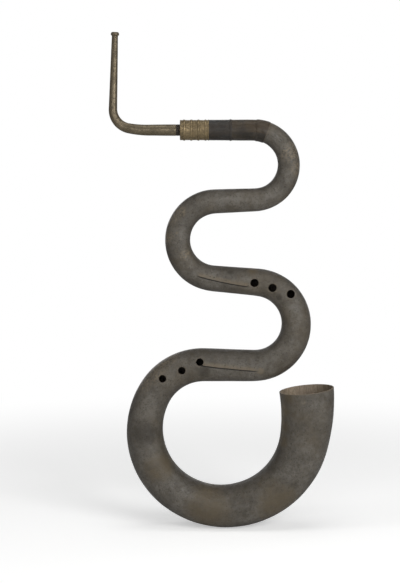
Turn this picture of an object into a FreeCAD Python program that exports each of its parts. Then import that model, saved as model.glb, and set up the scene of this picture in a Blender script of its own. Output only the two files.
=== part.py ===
import math
import os

import FreeCAD
import Part
import Sketcher
from FreeCAD import Placement, Rotation, Vector

# A leather-covered wooden serpent horn, in millimetres. The tube lies in the X-Z plane, its
# front is -Y, and the origin is the lowest point of its bottom bow.
SIZES = {
    # Centreline, from the end of the wood under the ferrule to the bell's mouth
    "collar_run": 56.2,
    "sleeve_run": 46.0,
    "throat_run": 45.2,
    "bend_one_radius": 70.0,
    "bend_one_turn": 178.0,
    "middle_run_one": 81.4,
    "bend_two_radius": 78.1,
    "bend_two_turn": 173.0,
    "middle_run_two": 92.4,
    "bend_three_radius": 85.5,
    "bend_three_turn": 176.0,
    "middle_run_three": 100.6,
    "bow_fall_radius": 113.3,
    "bow_fall_turn": 60.0,
    "bow_low_radius": 157.0,
    "bow_low_turn": 90.0,
    "bow_rise_radius": 167.4,
    "bow_rise_turn": 110.0,
    "bell_curve_radius": 354.0,
    "bell_curve_turn": 17.5,
    # Outside radius over the leather at each station of that line
    "outer_collar": 20.0,
    "outer_sleeve": 20.4,
    "outer_throat": 20.7,
    "outer_bend_one": 21.0,
    "outer_middle_one": 23.2,
    "outer_bend_two": 24.4,
    "outer_middle_two": 26.2,
    "outer_bend_three": 27.8,
    "outer_middle_three": 32.0,
    "outer_bow_fall": 33.8,
    "outer_bow_low": 35.0,
    "outer_bow_rise": 41.0,
    "outer_bell": 50.5,
    "outer_mouth": 56.0,
    # Walls of the tube
    "wood_wall": 5.5,
    "wood_wall_bell": 3.2,
    "wood_wall_mouth": 1.6,
    "cover_wall": 1.8,
    "cover_wall_mouth": 1.0,
    "glue_gap": 0.1,
    "carving_depth": 1.1,
    # Leather seams that stand up from the cover
    "welt_width": 4.5,
    "welt_height": 0.9,
    "band_start_turn": 2.5,
    "band_turn": 19.0,
    "band_wall": 1.0,
    # Finger holes, placed along their own stretch and off its centreline
    "upper_hole_radius": 8.3,
    "lower_hole_radius": 7.5,
    "upper_hole_one_along": 83.9,
    "upper_hole_two_turn": 19.8,
    "upper_hole_three_turn": 43.6,
    "lower_hole_three_turn": 4.2,
    "lower_hole_two_turn": 23.2,
    "lower_hole_one_turn": 43.6,
    "upper_hole_one_off": 0.3,
    "upper_hole_two_off": -1.5,
    "upper_hole_three_off": 10.6,
    "lower_hole_three_off": 9.9,
    "lower_hole_two_off": 1.2,
    "lower_hole_one_off": 8.1,
    # Ferrule and the socket inside it
    "ferrule_cap": 1.6,
    "ferrule_outer": 20.2,
    "bead_height": 0.9,
    "bead_width": 4.6,
    "bead_crown": 2.2,
    "bead_start": 8.4,
    "bead_pitch": 14.3,
    "lip_width": 1.8,
    "edge_bevel": 0.8,
    "socket_bore": 11.55,
    "socket_length": 52.0,
    "fit_gap": 0.05,
    # Crook, from its tenon's inner end to the mouthpiece receiver
    "tenon_depth": 40.0,
    "tenon_shown": 8.0,
    "tenon_outer": 10.6,
    "tenon_bore": 9.7,
    "lapping_outer": 11.5,
    "lapping_setback": 2.0,
    "crook_run": 56.2,
    "crook_bend_one_radius": 206.0,
    "crook_bend_one_turn": 10.9,
    "crook_bend_two_radius": 38.25,
    "crook_bend_two_turn": 81.0,
    "crook_rise": 121.4,
    "crook_outer_shoulder": 11.45,
    "crook_outer_bend_one": 11.0,
    "crook_outer_bend_two": 10.1,
    "crook_outer_rise": 8.5,
    "crook_outer_receiver": 6.6,
    "crook_wall": 0.9,
    # Mouthpiece receiver
    "receiver_length": 30.0,
    "receiver_depth": 24.0,
    "receiver_bore": 5.2,
    "receiver_throat": 4.8,
    "receiver_neck": 6.1,
    "receiver_bead": 8.3,
    "receiver_bead_height": 6.6,
    "receiver_bevel": 1.1,
}

doc = FreeCAD.newDocument("serpent")
sheet = doc.addObject("Spreadsheet::Sheet", "sizes")
for row, (alias, size) in enumerate(SIZES.items(), start=1):
    sheet.set(f"A{row}", alias)
    sheet.set(f"B{row}", str(size))
    sheet.setAlias(f"B{row}", alias)
doc.recompute()


def size(alias):
    return float(sheet.get(alias))


# The centreline, station by station. A run has a length; a bend has a radius, a turn in
# degrees and a side: 1 turns left of the line's travel seen from the front, -1 right.
def run(start, end, length):
    return {"start": start, "end": end, "length": length}


def bend(start, end, name, side):
    return {"start": start, "end": end, "radius": f"{name}_radius", "turn": f"{name}_turn", "side": side}


LEGS = {
    "collar": run("collar", "sleeve", "collar_run"),
    "sleeve": run("sleeve", "throat", "sleeve_run"),
    "throat": run("throat", "bend_one", "throat_run"),
    "bend_one": bend("bend_one", "middle_one", "bend_one", -1),
    "middle_one": run("middle_one", "bend_two", "middle_run_one"),
    "bend_two": bend("bend_two", "middle_two", "bend_two", 1),
    "middle_two": run("middle_two", "bend_three", "middle_run_two"),
    "bend_three": bend("bend_three", "middle_three", "bend_three", -1),
    "middle_three": run("middle_three", "bow_fall", "middle_run_three"),
    "bow_fall": bend("bow_fall", "bow_low", "bow_fall", 1),
    "bow_low": bend("bow_low", "bow_rise", "bow_low", 1),
    "bow_rise": bend("bow_rise", "bell", "bow_rise", 1),
    "bell": bend("bell", "mouth", "bell_curve", 1),
}
CROOK_LEGS = [
    {"start": "shoulder", "end": "bend_one", "length": "crook_run"},
    {"start": "bend_one", "end": "bend_two", "radius": "crook_bend_one_radius",
     "turn": "crook_bend_one_turn", "side": -1},
    {"start": "bend_two", "end": "rise", "radius": "crook_bend_two_radius",
     "turn": "crook_bend_two_turn", "side": -1},
    {"start": "rise", "end": "receiver", "length": "crook_rise"},
]


def step_on(point, leg):
    """The point and heading, in the X-Z plane, at the end of a leg that starts at point."""
    x, z, heading = point
    if "length" in leg:
        length = size(leg["length"])
        return (x + length * math.cos(heading), z + length * math.sin(heading), heading)
    reach = leg["side"] * size(leg["radius"])
    turned = heading + leg["side"] * math.radians(size(leg["turn"]))
    return (
        x + reach * (math.sin(turned) - math.sin(heading)),
        z - reach * (math.cos(turned) - math.cos(heading)),
        turned,
    )


def low_point(point, leg):
    """Where the outside of a bend that passes under its own centre comes lowest."""
    x, z, heading = point
    reach = size(leg["radius"])
    centre_x = x - reach * math.sin(heading)
    centre_z = z + reach * math.cos(heading)
    first, last = size("outer_" + leg["start"]), size("outer_" + leg["end"])
    growth = (last - first) / math.radians(size(leg["turn"]))
    at_bottom = first + growth * (2 * math.pi - heading % (2 * math.pi))
    lean = math.atan(growth / (reach + at_bottom))
    outside = reach + at_bottom + growth * lean
    return centre_x + outside * math.sin(lean), centre_z - outside * math.cos(lean)


stations = {"collar": (0.0, 0.0, 0.0)}
for name, leg in LEGS.items():
    stations[leg["end"]] = step_on(stations[leg["start"]], leg)
low_x, low_z = low_point(stations["bow_rise"], LEGS["bow_rise"])
stations = {name: (x - low_x, z - low_z, heading) for name, (x, z, heading) in stations.items()}


def place_at(body, point):
    """Puts a piece whose own X axis is the line of travel at a point of the centreline."""
    x, z, heading = point
    body.Placement = Placement(Vector(x, 0, z), Rotation(Vector(0, -1, 0), math.degrees(heading)))


# Sizes at a station, as expressions on the sheet
def cover_wall(station):
    return "sizes.cover_wall_mouth" if station == "mouth" else "sizes.cover_wall"


def wood_wall(station):
    walls = {"bell": "sizes.wood_wall_bell", "mouth": "sizes.wood_wall_mouth"}
    return walls.get(station, "sizes.wood_wall")


def cover_outer(station):
    return f"sizes.outer_{station}"


def cover_inner(station):
    return f"(sizes.outer_{station} - {cover_wall(station)})"


def wood_outer(station):
    return f"(sizes.outer_{station} - {cover_wall(station)} - sizes.glue_gap)"


def wood_bore(station):
    return f"(sizes.outer_{station} - {cover_wall(station)} - sizes.glue_gap - {wood_wall(station)})"


def between(law, leg, part, parts):
    """A radius that grows evenly along a leg, at part of its parts."""
    if part == 0:
        return law(leg["start"])
    if part == parts:
        return law(leg["end"])
    return f"{law(leg['start'])} + ({law(leg['end'])} - {law(leg['start'])}) * {part} / {parts}"


def carved_parts(leg):
    """How many flats the carver's work leaves along a leg, from the depth of one flat."""
    if "length" in leg:
        return 1
    flat = 2 * math.degrees(math.acos(1 - size("carving_depth") / size(leg["radius"])))
    return max(4, math.ceil(size(leg["turn"]) / flat))


def travelled(frame, leg, part, parts):
    """Expressions for X, Z and heading at part of a leg that starts in the given frame."""
    x, z, heading = frame
    if part == 0:
        return frame
    if "length" in leg:
        along = f"sizes.{leg['length']} * {part} / {parts}"
        return (f"{x} + {along} * cos({heading})", f"{z} + {along} * sin({heading})", heading)
    reach = f"{leg['side']} * sizes.{leg['radius']}"
    turned = f"({heading} + {leg['side']} * sizes.{leg['turn']} * {part} / {parts} * 1 deg)"
    return (
        f"{x} + {reach} * (sin({turned}) - sin({heading}))",
        f"{z} - {reach} * (cos({turned}) - cos({heading}))",
        turned,
    )


START = ("0", "0", "(0 deg)")


# Sketches
def origin_plane(body, role):
    return [item for item in body.Origin.OriginFeatures if item.Role == role][0]


def sketch_on(body, name, role):
    sketch = body.newObject("Sketcher::SketchObject", name)
    sketch.AttachmentSupport = [(origin_plane(body, role), "")]
    sketch.MapMode = "FlatFace"
    return sketch


def name_constraint(sketch, constraint, name, expression):
    sketch.renameConstraint(sketch.addConstraint(constraint), name)
    sketch.setExpression(f"Constraints.{name}", expression)


def across(body, name, frame):
    """A sketch square to the line of travel, at a frame of expressions."""
    sketch = sketch_on(body, name, "YZ_Plane")
    x, z, heading = frame
    if frame != START:
        sketch.setExpression("AttachmentOffset.Base.z", x)
        sketch.setExpression("AttachmentOffset.Base.y", z)
        sketch.setExpression("AttachmentOffset.Rotation.Axis.x", "1")
        sketch.setExpression("AttachmentOffset.Rotation.Axis.y", "0")
        sketch.setExpression("AttachmentOffset.Rotation.Axis.z", "0")
        sketch.setExpression("AttachmentOffset.Rotation.Angle", f"-1 * {heading}")
    return sketch


def add_circle(sketch, name, radius, rough):
    circle = sketch.addGeometry(Part.Circle(Vector(0, 0, 0), Vector(0, 0, 1), rough))
    sketch.addConstraint(Sketcher.Constraint("Coincident", circle, 3, -1, 1))
    name_constraint(sketch, Sketcher.Constraint("Radius", circle, rough), name, radius)


def ring_sketch(body, name, frame, outer, inner=None):
    sketch = across(body, name, frame)
    add_circle(sketch, "outer", outer, 20.0)
    if inner is not None:
        add_circle(sketch, "inner", inner, 10.0)
    return sketch


def half_ring_sketch(body, name, frame, outer, inner, side):
    """Half a ring, cut down the plane of the serpent: side -1 is the front, 1 the back."""
    sketch = across(body, name, frame)
    middle = Vector(0, 0, 0)
    rough_outer, rough_inner, rough_gap = 24.0, 18.0, 0.05
    arcs = []
    for rough in (rough_outer, rough_inner):
        open_angle = math.asin(rough_gap / rough)
        from_angle = math.pi / 2 + open_angle if side < 0 else -math.pi / 2 + open_angle
        arc = Part.ArcOfCircle(
            Part.Circle(middle, Vector(0, 0, 1), rough), from_angle, from_angle + math.pi - 2 * open_angle
        )
        arcs.append(sketch.addGeometry(arc))
    outer_arc, inner_arc = arcs
    ends = []
    for position in (1, 2):
        high = sketch.getPoint(outer_arc, position)
        low = sketch.getPoint(inner_arc, position)
        line = sketch.addGeometry(Part.LineSegment(high, low))
        ends.append(line)
        sketch.addConstraint(
            [
                Sketcher.Constraint("Coincident", outer_arc, position, line, 1),
                Sketcher.Constraint("Coincident", inner_arc, position, line, 2),
                Sketcher.Constraint("Vertical", line),
            ]
        )
    for arc in arcs:
        sketch.addConstraint(Sketcher.Constraint("Coincident", arc, 3, -1, 1))
    name_constraint(sketch, Sketcher.Constraint("Radius", outer_arc, rough_outer), "outer", outer)
    name_constraint(sketch, Sketcher.Constraint("Radius", inner_arc, rough_inner), "inner", inner)
    for line, label in zip(ends, ("seam_start", "seam_end")):
        points = (line, 1, -1, 1) if side < 0 else (-1, 1, line, 1)
        gap = Sketcher.Constraint("DistanceX", *points, rough_gap)
        name_constraint(sketch, gap, label, "sizes.glue_gap / 2")
    return sketch


def path_sketch(body, name, frame, leg):
    """The centreline of one bend, as equal arcs that follow each other."""
    sketch = sketch_on(body, name, "XZ_Plane")
    x, z, heading = frame
    if frame != START:
        sketch.setExpression("AttachmentOffset.Base.x", x)
        sketch.setExpression("AttachmentOffset.Base.y", z)
        sketch.setExpression("AttachmentOffset.Rotation.Axis.x", "0")
        sketch.setExpression("AttachmentOffset.Rotation.Axis.y", "0")
        sketch.setExpression("AttachmentOffset.Rotation.Axis.z", "1")
        sketch.setExpression("AttachmentOffset.Rotation.Angle", heading)
    side, radius, turn = leg["side"], size(leg["radius"]), math.radians(size(leg["turn"]))
    arcs = math.ceil(turn / (math.pi / 4))
    circle = Part.Circle(Vector(0, side * radius, 0), Vector(0, 0, 1), radius)
    near, far = (1, 2) if side > 0 else (2, 1)
    previous = None
    for index in range(arcs):
        low, high = turn * index / arcs, turn * (index + 1) / arcs
        if side > 0:
            piece = Part.ArcOfCircle(circle, low - math.pi / 2, high - math.pi / 2)
        else:
            piece = Part.ArcOfCircle(circle, math.pi / 2 - high, math.pi / 2 - low)
        arc = sketch.addGeometry(piece)
        name_constraint(
            sketch,
            Sketcher.Constraint("Angle", arc, turn / arcs),
            f"turn{index}",
            f"sizes.{leg['turn']} / {arcs} * 1 deg",
        )
        if previous is None:
            sketch.addConstraint(Sketcher.Constraint("Coincident", arc, near, -1, 1))
            sketch.addConstraint(Sketcher.Constraint("PointOnObject", arc, 3, -2))
            radius_limit = Sketcher.Constraint("Radius", arc, radius)
            name_constraint(sketch, radius_limit, "radius", f"sizes.{leg['radius']}")
        else:
            sketch.addConstraint(Sketcher.Constraint("Coincident", arc, near, previous, far))
            sketch.addConstraint(Sketcher.Constraint("Coincident", arc, 3, previous, 3))
        previous = arc
    return sketch


# Features
def new_body(name):
    body = doc.addObject("PartDesign::Body", name)
    body.Label = name
    return body


def loft(body, kind, name, sections, ruled):
    feature = body.newObject(f"PartDesign::{kind}Loft", name)
    feature.Profile = sections[0]
    feature.Sections = sections[1:]
    feature.Ruled = ruled
    return feature


def sweep(body, name, sections, path):
    """A round solid whose radius grows evenly along a bend."""
    feature = body.newObject("PartDesign::AdditivePipe", name)
    feature.Profile = sections[0]
    feature.Spine = path
    feature.Sections = sections[1:]
    feature.Transformation = "Multisection"
    return feature


def pad(body, name, sketch, length):
    feature = body.newObject("PartDesign::Pad", name)
    feature.Profile = sketch
    feature.setExpression("Length", length)
    return feature


def turned_piece(name, outline):
    """A piece turned about the line of travel, from its outline as distance along and radius."""
    body = new_body(name)
    sketch = sketch_on(body, f"{name}_outline", "XZ_Plane")
    rough_middle, rough_reach = Vector(20, 20, 0), 10
    rough = []
    for index in range(len(outline)):
        angle = 2 * math.pi * index / len(outline)
        rough.append(rough_middle + rough_reach * Vector(math.cos(angle), math.sin(angle), 0))
    lines = [
        sketch.addGeometry(Part.LineSegment(rough[index - 1], rough[index]))
        for index in range(len(outline))
    ]
    for index, line in enumerate(lines):
        sketch.addConstraint(Sketcher.Constraint("Coincident", lines[index - 1], 2, line, 1))
    for index, (along, radius) in enumerate(outline):
        corner = (-1, 1, lines[index], 2)
        at_x = Sketcher.Constraint("DistanceX", *corner, rough[index].x)
        at_radius = Sketcher.Constraint("DistanceY", *corner, rough[index].y)
        name_constraint(sketch, at_x, f"along{index}", along)
        name_constraint(sketch, at_radius, f"radius{index}", radius)
    feature = body.newObject("PartDesign::Revolution", name + "_turned")
    feature.Profile = sketch
    feature.ReferenceAxis = (sketch, ["H_Axis"])
    feature.Angle = 360
    return body


def half_shell(name, leg_names, side):
    """A carved half tube of walnut along some legs of the centreline."""
    body = new_body(name)
    frame = START
    for leg_name in leg_names:
        leg = LEGS[leg_name]
        parts = carved_parts(leg)
        sections = []
        for part in range(parts + 1):
            outer = between(wood_outer, leg, part, parts)
            bore = between(wood_bore, leg, part, parts)
            here = travelled(frame, leg, part, parts)
            sections.append(half_ring_sketch(body, f"{name}_{leg_name}_{part}", here, outer, bore, side))
        loft(body, "Additive", f"{name}_{leg_name}", sections, True)
        frame = travelled(frame, leg, 1, 1)
    place_at(body, stations[LEGS[leg_names[0]]["start"]])
    return body


def cover(name, leg_names, welted=False):
    """A leather cover round the wood along some legs, smooth outside, fitted to it inside."""
    body = new_body(name)
    frame = START
    cuts = []
    for leg_name in leg_names:
        leg = LEGS[leg_name]
        ends = []
        for part in (0, 1):
            here = travelled(frame, leg, part, 1)
            outer = between(cover_outer, leg, part, 1)
            ends.append(ring_sketch(body, f"{name}_{leg_name}_out{part}", here, outer))
        if "length" in leg:
            loft(body, "Additive", f"{name}_{leg_name}", ends, True)
        else:
            path = path_sketch(body, f"{name}_{leg_name}_path", frame, leg)
            sweep(body, f"{name}_{leg_name}", ends, path)
        cuts.append((leg_name, frame))
        frame = travelled(frame, leg, 1, 1)
    if welted:
        edge = LEGS[leg_names[-1]]
        start = (f"{frame[0]} - sizes.welt_width", frame[1], frame[2])
        rim = ring_sketch(body, f"{name}_welt_edge", start, f"sizes.outer_{edge['end']} + sizes.welt_height")
        pad(body, f"{name}_welt", rim, "sizes.welt_width")
    for leg_name, start in cuts:
        leg = LEGS[leg_name]
        parts = carved_parts(leg)
        sections = []
        for part in range(parts + 1):
            inner = between(cover_inner, leg, part, parts)
            here = travelled(start, leg, part, parts)
            sections.append(ring_sketch(body, f"{name}_{leg_name}_in{part}", here, inner))
        loft(body, "Subtractive", f"{name}_{leg_name}_hollow", sections, True)
    place_at(body, stations[LEGS[leg_names[0]]["start"]])
    return body


def finger_hole(body, name, leg_names, leg_name, radius, off, along=None, turn=None):
    """Drills one finger hole through the front of a piece, square to the serpent's plane.
    off is how far the hole lies from the centreline, away from the bend's centre or, on a
    run, to the left of its travel."""
    frame = START
    for earlier in leg_names[: leg_names.index(leg_name)]:
        frame = travelled(frame, LEGS[earlier], 1, 1)
    x, z, heading = frame
    leg = LEGS[leg_name]
    if along is not None:
        place_x = f"{x} + sizes.{along} * cos({heading}) - sizes.{off} * sin({heading})"
        place_z = f"{z} + sizes.{along} * sin({heading}) + sizes.{off} * cos({heading})"
    else:
        side = leg["side"]
        reach = f"sizes.{leg['radius']}"
        out = f"({reach} + sizes.{off})"
        turned = f"({heading} + {side} * sizes.{turn} * 1 deg)"
        place_x = f"{x} + {side} * ({out} * sin({turned}) - {reach} * sin({heading}))"
        place_z = f"{z} - {side} * ({out} * cos({turned}) - {reach} * cos({heading}))"
    sketch = sketch_on(body, name, "XZ_Plane")
    sketch.setExpression("AttachmentOffset.Base.x", place_x)
    sketch.setExpression("AttachmentOffset.Base.y", place_z)
    add_circle(sketch, "hole", f"sizes.{radius}", 8.0)
    doc.recompute()
    before = body.Shape.Volume
    pocket = body.newObject("PartDesign::Pocket", f"{name}_drilled")
    pocket.Profile = sketch
    pocket.setExpression("Length", "sizes.outer_mouth")
    pocket.Reversed = True
    doc.recompute()
    if not body.Shape.Volume < before:
        raise RuntimeError(f"{name} cuts nothing")


# Walnut half shells: the joints of the front and back halves are staggered
FRONT_SHELLS = [
    ["collar", "sleeve", "throat", "bend_one"],
    ["middle_one", "bend_two"],
    ["middle_two", "bend_three"],
    ["middle_three", "bow_fall"],
    ["bow_low", "bow_rise"],
    ["bell"],
]
BACK_SHELLS = [
    ["collar", "sleeve", "throat"],
    ["bend_one", "middle_one"],
    ["bend_two", "middle_two"],
    ["bend_three", "middle_three"],
    ["bow_fall", "bow_low"],
    ["bow_rise", "bell"],
]
COVERS = {
    "neck_sleeve": ["sleeve"],
    "neck_cover": ["throat"],
    "bend_one_cover": ["bend_one", "middle_one"],
    "bend_two_cover": ["bend_two"],
    "bend_three_cover": ["middle_two", "bend_three"],
    "bow_fall_cover": ["middle_three", "bow_fall"],
    "bow_low_cover": ["bow_low"],
    "bow_rise_cover": ["bow_rise"],
    "bell_cover": ["bell"],
}
UPPER_HOLES = [
    ("middle_two", "upper_hole_one_off", {"along": "upper_hole_one_along"}),
    ("bend_three", "upper_hole_two_off", {"turn": "upper_hole_two_turn"}),
    ("bend_three", "upper_hole_three_off", {"turn": "upper_hole_three_turn"}),
]
LOWER_HOLES = [
    ("bow_fall", "lower_hole_three_off", {"turn": "lower_hole_three_turn"}),
    ("bow_fall", "lower_hole_two_off", {"turn": "lower_hole_two_turn"}),
    ("bow_fall", "lower_hole_one_off", {"turn": "lower_hole_one_turn"}),
]

def drill_holes(body, leg_names):
    """Drills the finger holes that lie on the given legs."""
    for holes, radius in ((UPPER_HOLES, "upper_hole_radius"), (LOWER_HOLES, "lower_hole_radius")):
        for index, (leg_name, off, where) in enumerate(holes):
            if leg_name in leg_names:
                finger_hole(body, f"{body.Label}_hole_{index}", leg_names, leg_name, radius, off, **where)


bodies = []
for number, leg_names in enumerate(FRONT_SHELLS, start=1):
    shell = half_shell(f"front_shell_{number}", leg_names, -1)
    drill_holes(shell, leg_names)
    bodies.append(shell)
for number, leg_names in enumerate(BACK_SHELLS, start=1):
    bodies.append(half_shell(f"back_shell_{number}", leg_names, 1))
for name, leg_names in COVERS.items():
    leather = cover(name, leg_names, welted=name == "neck_sleeve")
    drill_holes(leather, leg_names)
    bodies.append(leather)


def seam_band():
    """The leather strap that laps the start of the first bend."""
    body = new_body("seam_band")
    leg = {"radius": "bend_one_radius", "turn": "band_turn", "side": -1}
    ends = []
    for part in (0, 1):
        turned = f"(sizes.band_start_turn + sizes.band_turn * {part})"
        growth = f"(sizes.outer_middle_one - sizes.outer_bend_one) * {turned} / sizes.bend_one_turn"
        under = f"sizes.outer_bend_one + {growth} + sizes.fit_gap"
        frame = travelled(START, leg, part, 1)
        ends.append(ring_sketch(body, f"band_end_{part}", frame, f"{under} + sizes.band_wall", under))
    sweep(body, "band", ends, path_sketch(body, "band_path", START, leg))
    point = stations["bend_one"]
    lead = {"radius": "bend_one_radius", "turn": "band_start_turn", "side": -1}
    place_at(body, step_on(point, lead))
    return body


bodies.append(seam_band())


# Brass: the ferrule on the neck and the socket in it, both from the ferrule's outer face
CAP_DEPTH = "(sizes.ferrule_cap + sizes.glue_gap)"
FERRULE_LENGTH = f"({CAP_DEPTH} + sizes.collar_run)"
wood_end_x, neck_z, neck_heading = stations["collar"]
ferrule_face = (wood_end_x - size("ferrule_cap") - size("glue_gap"), neck_z, neck_heading)


def ferrule():
    outer = "sizes.ferrule_outer"
    crown = "(sizes.ferrule_outer + sizes.bead_height)"
    cap_hole = wood_bore("collar")
    outline = [("0", cap_hole), ("0", f"{outer} - sizes.edge_bevel"), ("sizes.edge_bevel", outer)]
    for bead in range(4):
        middle = f"(sizes.bead_start + sizes.bead_pitch * {bead})"
        outline += [
            (f"{middle} - sizes.bead_width / 2", outer),
            (f"{middle} - sizes.bead_crown / 2", crown),
            (f"{middle} + sizes.bead_crown / 2", crown),
            (f"{middle} + sizes.bead_width / 2", outer),
        ]
    outline += [
        (f"{FERRULE_LENGTH} - sizes.lip_width", outer),
        (f"{FERRULE_LENGTH} - sizes.lip_width", crown),
        (FERRULE_LENGTH, crown),
        (FERRULE_LENGTH, f"{wood_outer('sleeve')} + sizes.fit_gap"),
        ("sizes.ferrule_cap", f"{wood_outer('collar')} + sizes.fit_gap"),
        ("sizes.ferrule_cap", cap_hole),
    ]
    body = turned_piece("ferrule", outline)
    place_at(body, ferrule_face)
    return body


def crook_socket():
    taper = f"({wood_bore('sleeve')} - {wood_bore('collar')}) / sizes.collar_run"
    outline = [
        ("0", "sizes.socket_bore"),
        ("0", f"{wood_bore('collar')} - sizes.fit_gap"),
        (CAP_DEPTH, f"{wood_bore('collar')} - sizes.fit_gap"),
        ("sizes.socket_length",
         f"{wood_bore('collar')} + {taper} * (sizes.socket_length - {CAP_DEPTH}) - sizes.fit_gap"),
        ("sizes.socket_length", "sizes.socket_bore"),
    ]
    body = turned_piece("crook_socket", outline)
    place_at(body, ferrule_face)
    return body


# The crook and its lapping start at the tenon's inner end and run out of the neck
TENON_LENGTH = "(sizes.tenon_depth + sizes.tenon_shown)"
tenon_end = (ferrule_face[0] + size("tenon_depth"), neck_z, math.pi)
shoulder = (ferrule_face[0] - size("tenon_shown"), neck_z, math.pi)


def tenon_lapping():
    inner = "sizes.tenon_outer + sizes.fit_gap"
    end = f"{TENON_LENGTH} - sizes.glue_gap"
    outline = [
        ("sizes.lapping_setback", inner),
        ("sizes.lapping_setback", "sizes.lapping_outer"),
        (end, "sizes.lapping_outer"),
        (end, inner),
    ]
    body = turned_piece("tenon_lapping", outline)
    place_at(body, tenon_end)
    return body


def crook_outer(station):
    return f"sizes.crook_outer_{station}"


def crook_bore(station):
    if station in ("shoulder", "bend_one"):
        return "sizes.tenon_bore"
    return f"(sizes.crook_outer_{station} - sizes.crook_wall)"


def crook_tube():
    body = new_body("crook_tube")
    tenon = ring_sketch(body, "tenon_section", START, "sizes.tenon_outer", "sizes.tenon_bore")
    pad(body, "tenon", tenon, TENON_LENGTH)
    frame = (TENON_LENGTH, "0", "(0 deg)")
    for index, leg in enumerate(CROOK_LEGS):
        ends = []
        for part in (0, 1):
            here = travelled(frame, leg, part, 1)
            outer = between(crook_outer, leg, part, 1)
            bore = between(crook_bore, leg, part, 1)
            ends.append(ring_sketch(body, f"crook_{index}_end{part}", here, outer, bore))
        if "length" in leg:
            loft(body, "Additive", f"crook_{index}", ends, True)
        else:
            sweep(body, f"crook_{index}", ends, path_sketch(body, f"crook_{index}_path", frame, leg))
        frame = travelled(frame, leg, 1, 1)
    place_at(body, tenon_end)
    return body


def mouthpiece_receiver():
    """The turned brass socket on the crook's end, with the bead round its mouth."""
    top = "sizes.receiver_length"
    under = f"({top} - sizes.receiver_bead_height)"
    bead = "sizes.receiver_bead"
    bevel = "sizes.receiver_bevel"
    floor = f"({top} - sizes.receiver_depth)"
    outline = [
        ("0", "sizes.crook_outer_receiver - sizes.crook_wall"),
        ("0", "sizes.crook_outer_receiver"),
        (under, "sizes.receiver_neck"),
        (under, f"{bead} - {bevel}"),
        (f"{under} + {bevel}", bead),
        (f"{top} - 2 * {bevel}", bead),
        (f"{top} - {bevel} / 2", f"{bead} - {bevel}"),
        (top, f"{bead} - 2 * {bevel}"),
        (top, "sizes.receiver_bore"),
        (floor, "sizes.receiver_bore"),
        (floor, "sizes.receiver_throat"),
    ]
    body = turned_piece("mouthpiece_receiver", outline)
    point = shoulder
    for leg in CROOK_LEGS:
        point = step_on(point, leg)
    place_at(body, point)
    return body


bodies += [ferrule(), crook_socket(), tenon_lapping(), crook_tube(), mouthpiece_receiver()]

doc.recompute()

broken = [item.Name for item in doc.Objects if "Invalid" in item.State or "Error" in item.State]
if broken:
    raise RuntimeError(f"failed objects: {broken}")
os.makedirs("parts", exist_ok=True)
for body in bodies:
    shape = body.Shape
    if shape.isNull() or not shape.isValid():
        raise RuntimeError(f"{body.Label} has no valid shape")
    shape.exportStep(os.path.join("parts", f"{body.Label}.step"))
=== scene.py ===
import math

import bpy
import numpy as np
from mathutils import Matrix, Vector


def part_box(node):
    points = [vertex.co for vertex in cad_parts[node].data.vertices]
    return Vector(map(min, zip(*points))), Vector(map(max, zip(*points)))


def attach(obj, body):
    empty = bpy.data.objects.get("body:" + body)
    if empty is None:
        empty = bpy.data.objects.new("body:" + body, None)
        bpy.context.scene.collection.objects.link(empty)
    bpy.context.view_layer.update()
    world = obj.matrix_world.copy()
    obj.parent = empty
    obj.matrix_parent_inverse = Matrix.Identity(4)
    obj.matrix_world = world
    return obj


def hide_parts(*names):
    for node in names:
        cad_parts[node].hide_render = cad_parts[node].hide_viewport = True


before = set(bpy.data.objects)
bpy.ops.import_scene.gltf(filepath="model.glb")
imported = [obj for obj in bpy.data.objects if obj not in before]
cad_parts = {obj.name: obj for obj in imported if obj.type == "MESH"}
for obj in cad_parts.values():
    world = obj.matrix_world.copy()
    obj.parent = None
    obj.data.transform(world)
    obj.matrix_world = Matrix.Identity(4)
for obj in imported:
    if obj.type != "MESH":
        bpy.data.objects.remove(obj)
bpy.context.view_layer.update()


# The line of the horn
# A church serpent is one long cone, folded flat into three hairpin bends and a wide bottom bow. The
# carver lays out its middle line first; wood, leather and seams all follow it from neck to bell.
def follow(runs, x, z, heading, girth, step):
    """Rows of travel, x, z and girth along runs and bends, about a step apart. A run is its length, no
    turn and the next girth; a bend is its radius, its turn in degrees and the next girth."""
    rows = [(0.0, x, z, girth)]
    travel = 0.0
    for reach, turn, next_girth in runs:
        bend = math.radians(turn)
        length = reach * abs(bend) if turn else reach
        parts = max(1, round(length / step))
        for part in range(1, parts + 1):
            share = part / parts
            now = heading + bend * share
            if turn:
                side = math.copysign(reach, turn)
                point = (x + side * (math.sin(now) - math.sin(heading)),
                         z - side * (math.cos(now) - math.cos(heading)))
            else:
                point = (x + length * share * math.cos(heading), z + length * share * math.sin(heading))
            rows.append((travel + length * share, *point, girth + (next_girth - girth) * share))
        travel += length
        (x, z), heading, girth = point, now, next_girth
    return np.array(rows)


def eased(line, spread):
    """The same rows, with the start and end of each bend eased as a rasp leaves them."""
    step = (line[-1, 0] - line[0, 0]) / (len(line) - 1)
    even = np.linspace(line[0, 0], line[-1, 0], len(line))
    rows = np.array([np.interp(even, line[:, 0], line[:, column]) for column in (1, 2, 3)]).T
    reach = math.ceil(3 * spread / step)
    weights = np.exp(-0.5 * (np.arange(-reach, reach + 1) * step / spread) ** 2)
    before = rows[0] + (rows[0] - rows[1]) * np.arange(reach, 0, -1)[:, None]
    after = rows[-1] + (rows[-1] - rows[-2]) * np.arange(1, reach + 1)[:, None]
    padded = np.vstack([before, rows, after])
    smooth = [np.convolve(padded[:, column], weights / weights.sum(), "valid") for column in range(3)]
    return np.column_stack([even, *smooth])


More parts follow.
